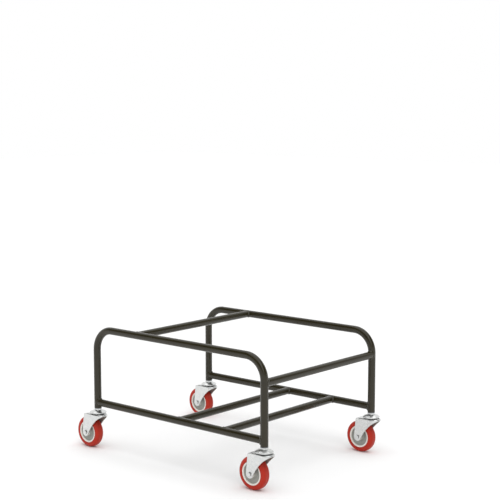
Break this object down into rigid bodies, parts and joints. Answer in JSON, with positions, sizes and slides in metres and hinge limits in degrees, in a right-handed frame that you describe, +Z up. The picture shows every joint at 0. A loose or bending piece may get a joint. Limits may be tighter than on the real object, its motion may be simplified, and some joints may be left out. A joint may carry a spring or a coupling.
{
  "type": "stacking chair trolley",
  "caption": "Low wheeled trolley for a leaning stack of chairs: welded round-tube frame of end hoops, stop rails and support rails on swivel casters with red tyres.",
  "frame": {"origin": "on the floor, in the middle of the four swivel axes", "axes": "+X along the hoops towards the front rail, +Y from the near hoop to the far one, +Z up"},
  "size_m": [0.776, 0.5535, 0.3816],
  "materials": {
    "black_powder_coat": "semi-gloss black powder coat on steel tube",
    "zinc_plate": "bright zinc plate on pressed steel",
    "bare_steel": "plain steel, lightly oiled",
    "red_polyurethane": "satin red polyurethane",
    "white_nylon": "off-white moulded plastic",
    "grey_plastic": "mid-grey moulded plastic"
  },
  "bodies": {
    "frame": {"near_hoop": "black_powder_coat", "far_hoop": "black_powder_coat", "near_crossbar": "black_powder_coat", "far_crossbar": "black_powder_coat", "back_rail": "black_powder_coat", "front_rail": "black_powder_coat", "rear_support_rail": "black_powder_coat", "front_support_rail": "black_powder_coat", "stem_inserts": "bare_steel", "near_left_stem": "zinc_plate", "near_left_top_race": "zinc_plate", "near_left_lower_race": "bare_steel", "near_left_lower_balls": "bare_steel", "near_right_stem": "zinc_plate", "near_right_top_race": "zinc_plate", "near_right_lower_race": "bare_steel", "near_right_lower_balls": "bare_steel", "far_left_stem": "zinc_plate", "far_left_top_race": "zinc_plate", "far_left_lower_race": "bare_steel", "far_left_lower_balls": "bare_steel", "far_right_stem": "zinc_plate", "far_right_top_race": "zinc_plate", "far_right_lower_race": "bare_steel", "far_right_lower_balls": "bare_steel"},
    "near_left_swivel": {"near_left_fork": "zinc_plate", "near_left_upper_balls": "bare_steel", "near_left_axle_bolt": "zinc_plate", "near_left_axle_nut": "zinc_plate", "near_left_axle_sleeve": "bare_steel"},
    "near_left_wheel": {"near_left_wheel_core": "white_nylon", "near_left_tyre": "red_polyurethane", "near_left_thread_guards": "grey_plastic"},
    "near_right_swivel": {"near_right_fork": "zinc_plate", "near_right_upper_balls": "bare_steel", "near_right_axle_bolt": "zinc_plate", "near_right_axle_nut": "zinc_plate", "near_right_axle_sleeve": "bare_steel"},
    "near_right_wheel": {"near_right_wheel_core": "white_nylon", "near_right_tyre": "red_polyurethane", "near_right_thread_guards": "grey_plastic"},
    "far_left_swivel": {"far_left_fork": "zinc_plate", "far_left_upper_balls": "bare_steel", "far_left_axle_bolt": "zinc_plate", "far_left_axle_nut": "zinc_plate", "far_left_axle_sleeve": "bare_steel"},
    "far_left_wheel": {"far_left_wheel_core": "white_nylon", "far_left_tyre": "red_polyurethane", "far_left_thread_guards": "grey_plastic"},
    "far_right_swivel": {"far_right_fork": "zinc_plate", "far_right_upper_balls": "bare_steel", "far_right_axle_bolt": "zinc_plate", "far_right_axle_nut": "zinc_plate", "far_right_axle_sleeve": "bare_steel"},
    "far_right_wheel": {"far_right_wheel_core": "white_nylon", "far_right_tyre": "red_polyurethane", "far_right_thread_guards": "grey_plastic"}
  },
  "joints": [
    {"name": "near_left_swivel_turn", "type": "hinge", "parent": "frame", "child": "near_left_swivel", "pos_m": [-0.331, -0.249, 0.107], "axis": [0, 0, 1], "continuous": true},
    {"name": "near_left_wheel_spin", "type": "hinge", "parent": "near_left_swivel", "child": "near_left_wheel", "pos_m": [-0.3665, -0.249, 0.0475], "axis": [0, 1, 0], "continuous": true},
    {"name": "near_right_swivel_turn", "type": "hinge", "parent": "frame", "child": "near_right_swivel", "pos_m": [0.331, -0.249, 0.107], "axis": [0, 0, 1], "continuous": true},
    {"name": "near_right_wheel_spin", "type": "hinge", "parent": "near_right_swivel", "child": "near_right_wheel", "pos_m": [0.2955, -0.249, 0.0475], "axis": [0, 1, 0], "continuous": true},
    {"name": "far_left_swivel_turn", "type": "hinge", "parent": "frame", "child": "far_left_swivel", "pos_m": [-0.331, 0.249, 0.107], "axis": [0, 0, 1], "continuous": true},
    {"name": "far_left_wheel_spin", "type": "hinge", "parent": "far_left_swivel", "child": "far_left_wheel", "pos_m": [-0.3665, 0.249, 0.0475], "axis": [0, 1, 0], "continuous": true},
    {"name": "far_right_swivel_turn", "type": "hinge", "parent": "frame", "child": "far_right_swivel", "pos_m": [0.331, 0.249, 0.107], "axis": [0, 0, 1], "continuous": true},
    {"name": "far_right_wheel_spin", "type": "hinge", "parent": "far_right_swivel", "child": "far_right_wheel", "pos_m": [0.2955, 0.249, 0.0475], "axis": [0, 1, 0], "continuous": true}
  ]
}
